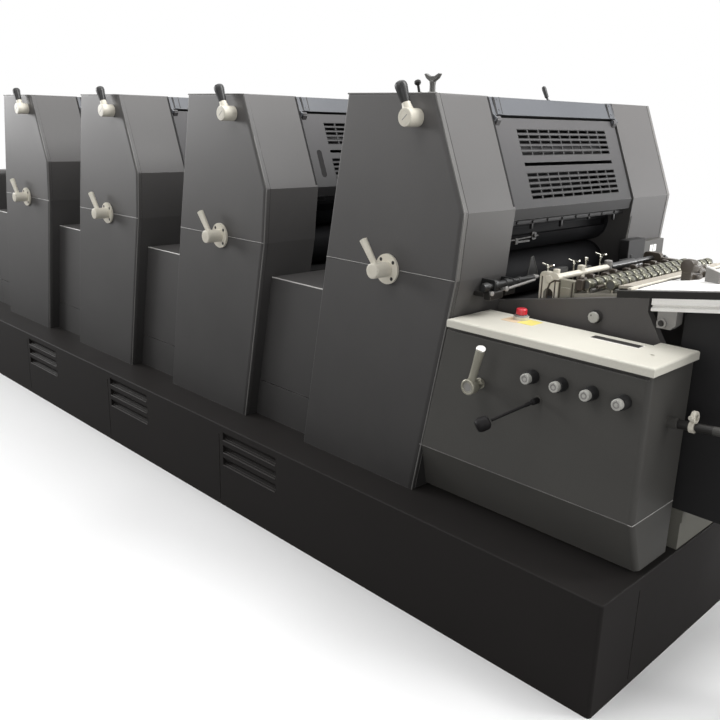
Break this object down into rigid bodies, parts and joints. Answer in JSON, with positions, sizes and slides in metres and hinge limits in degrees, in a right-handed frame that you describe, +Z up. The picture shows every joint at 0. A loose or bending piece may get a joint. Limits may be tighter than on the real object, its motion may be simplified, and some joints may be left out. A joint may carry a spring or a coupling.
{
  "type": "offset printing press",
  "caption": "Offset printing press in a row of like units on a dark plinth, with hinged guards, levers, a control console, a sloping feed board and a delivery.",
  "frame": {"origin": "floor level, at the middle of the machine's outline seen from above", "axes": "+X along the machine towards the feeder, +Z up, the operator's side with console and levers faces -Y"},
  "size_m": [5.28, 1.6005, 1.6504],
  "materials": {
    "plinth": "satin",
    "cover_grey": "satin",
    "housing_dark": "satin",
    "guard_grey": "satin",
    "top_grey": "satin",
    "cream_metal": "satin",
    "slab_cream": "satin",
    "steel": "brushed",
    "chrome": "polished",
    "roller_rubber": "matt",
    "white_metal": "satin",
    "black_plastic": "matt",
    "stop_red": "gloss",
    "knob_white": "satin",
    "bracket_grey": "satin",
    "paper_white": "matt"
  },
  "bodies": {
    "press": {"plinth": "plinth", "near_covers": "cover_grey", "far_covers": "cover_grey", "housings": "housing_dark", "press_cylinders": "steel", "ink_rollers": "roller_rubber", "top_covers": "top_grey", "step_covers": "cover_grey", "console_body": "cover_grey", "console_slab": "slab_cream", "feeder_sides": "housing_dark", "feed_rails": "housing_dark", "feed_board": "white_metal", "table_edges": "white_metal", "lay_bar": "cream_metal", "roller_plate": "steel", "sheet_rollers": "chrome", "pile_frame": "housing_dark", "deck_plate": "cover_grey", "delivery_housing": "cover_grey", "delivery_sides": "housing_dark", "paper_piles": "paper_white", "cross_bars": "cream_metal", "drive_box": "black_plastic", "tube_bracket": "bracket_grey"},
    "guard_1": {"guard_1": "guard_grey"},
    "top_lever_1": {"top_lever_1": "cream_metal"},
    "mid_lever_1": {"mid_lever_1": "cream_metal"},
    "guard_2": {"guard_2": "guard_grey"},
    "top_lever_2": {"top_lever_2": "cream_metal"},
    "mid_lever_2": {"mid_lever_2": "cream_metal"},
    "guard_3": {"guard_3": "guard_grey"},
    "top_lever_3": {"top_lever_3": "cream_metal"},
    "mid_lever_3": {"mid_lever_3": "cream_metal"},
    "guard_4": {"guard_4": "guard_grey"},
    "top_lever_4": {"top_lever_4": "cream_metal"},
    "mid_lever_4": {"mid_lever_4": "cream_metal"},
    "console_lever": {"console_lever": "cream_metal"},
    "console_knob_1": {"console_knob_1": "knob_white"},
    "console_knob_2": {"console_knob_2": "knob_white"},
    "console_knob_3": {"console_knob_3": "knob_white"},
    "console_knob_4": {"console_knob_4": "knob_white"},
    "ball_lever": {"ball_lever": "black_plastic"},
    "stop_button": {"stop_button": "stop_red"},
    "plate_knob": {"plate_knob": "knob_white"}
  },
  "joints": [
    {"name": "guard_1_hinge", "type": "hinge", "parent": "press", "child": "guard_1", "pos_m": [1.47067, 0, 1.55312], "axis": [0, -1, 0], "range_deg": [0, 70]},
    {"name": "top_lever_1_turn", "type": "hinge", "parent": "press", "child": "top_lever_1", "pos_m": [1.379, -0.68, 1.549], "axis": [0, 1, 0], "range_deg": [-50, 40]},
    {"name": "mid_lever_1_turn", "type": "hinge", "parent": "press", "child": "mid_lever_1", "pos_m": [1.28, -0.68, 1.08], "axis": [0, 1, 0], "range_deg": [-30, 60]},
    {"name": "guard_2_hinge", "type": "hinge", "parent": "press", "child": "guard_2", "pos_m": [0.54067, 0, 1.55312], "axis": [0, -1, 0], "range_deg": [0, 70]},
    {"name": "top_lever_2_turn", "type": "hinge", "parent": "press", "child": "top_lever_2", "pos_m": [0.449, -0.68, 1.549], "axis": [0, 1, 0], "range_deg": [-50, 40]},
    {"name": "mid_lever_2_turn", "type": "hinge", "parent": "press", "child": "mid_lever_2", "pos_m": [0.35, -0.68, 1.08], "axis": [0, 1, 0], "range_deg": [-30, 60]},
    {"name": "guard_3_hinge", "type": "hinge", "parent": "press", "child": "guard_3", "pos_m": [-0.38933, 0, 1.55312], "axis": [0, -1, 0], "range_deg": [0, 70]},
    {"name": "top_lever_3_turn", "type": "hinge", "parent": "press", "child": "top_lever_3", "pos_m": [-0.481, -0.68, 1.549], "axis": [0, 1, 0], "range_deg": [-50, 40]},
    {"name": "mid_lever_3_turn", "type": "hinge", "parent": "press", "child": "mid_lever_3", "pos_m": [-0.58, -0.68, 1.08], "axis": [0, 1, 0], "range_deg": [-30, 60]},
    {"name": "guard_4_hinge", "type": "hinge", "parent": "press", "child": "guard_4", "pos_m": [-1.31933, 0, 1.55312], "axis": [0, -1, 0], "range_deg": [0, 70]},
    {"name": "top_lever_4_turn", "type": "hinge", "parent": "press", "child": "top_lever_4", "pos_m": [-1.411, -0.68, 1.549], "axis": [0, 1, 0], "range_deg": [-50, 40]},
    {"name": "mid_lever_4_turn", "type": "hinge", "parent": "press", "child": "mid_lever_4", "pos_m": [-1.51, -0.68, 1.08], "axis": [0, 1, 0], "range_deg": [-30, 60]},
    {"name": "console_lever_turn", "type": "hinge", "parent": "press", "child": "console_lever", "pos_m": [1.675, -0.66, 0.792], "axis": [0, 1, 0], "range_deg": [-45, 45]},
    {"name": "console_knob_1_turn", "type": "hinge", "parent": "press", "child": "console_knob_1", "pos_m": [1.86, -0.66, 0.859], "axis": [0, 1, 0], "range_deg": [-150, 150]},
    {"name": "console_knob_2_turn", "type": "hinge", "parent": "press", "child": "console_knob_2", "pos_m": [1.953, -0.66, 0.859], "axis": [0, 1, 0], "range_deg": [-150, 150]},
    {"name": "console_knob_3_turn", "type": "hinge", "parent": "press", "child": "console_knob_3", "pos_m": [2.046, -0.66, 0.859], "axis": [0, 1, 0], "range_deg": [-150, 150]},
    {"name": "console_knob_4_turn", "type": "hinge", "parent": "press", "child": "console_knob_4", "pos_m": [2.139, -0.66, 0.859], "axis": [0, 1, 0], "range_deg": [-150, 150]},
    {"name": "ball_lever_turn", "type": "hinge", "parent": "press", "child": "ball_lever", "pos_m": [1.881, -0.66, 0.793], "axis": [0, 1, 0], "range_deg": [-20, 50]},
    {"name": "stop_button_push", "type": "slide", "parent": "press", "child": "stop_button", "axis": [0, 0, -1], "range_m": [0, 0.006], "stiffness_N_per_m": 800},
    {"name": "plate_knob_turn", "type": "hinge", "parent": "press", "child": "plate_knob", "pos_m": [1.893, -0.4, 1], "axis": [0, 1, 0], "range_deg": [-150, 150]}
  ]
}
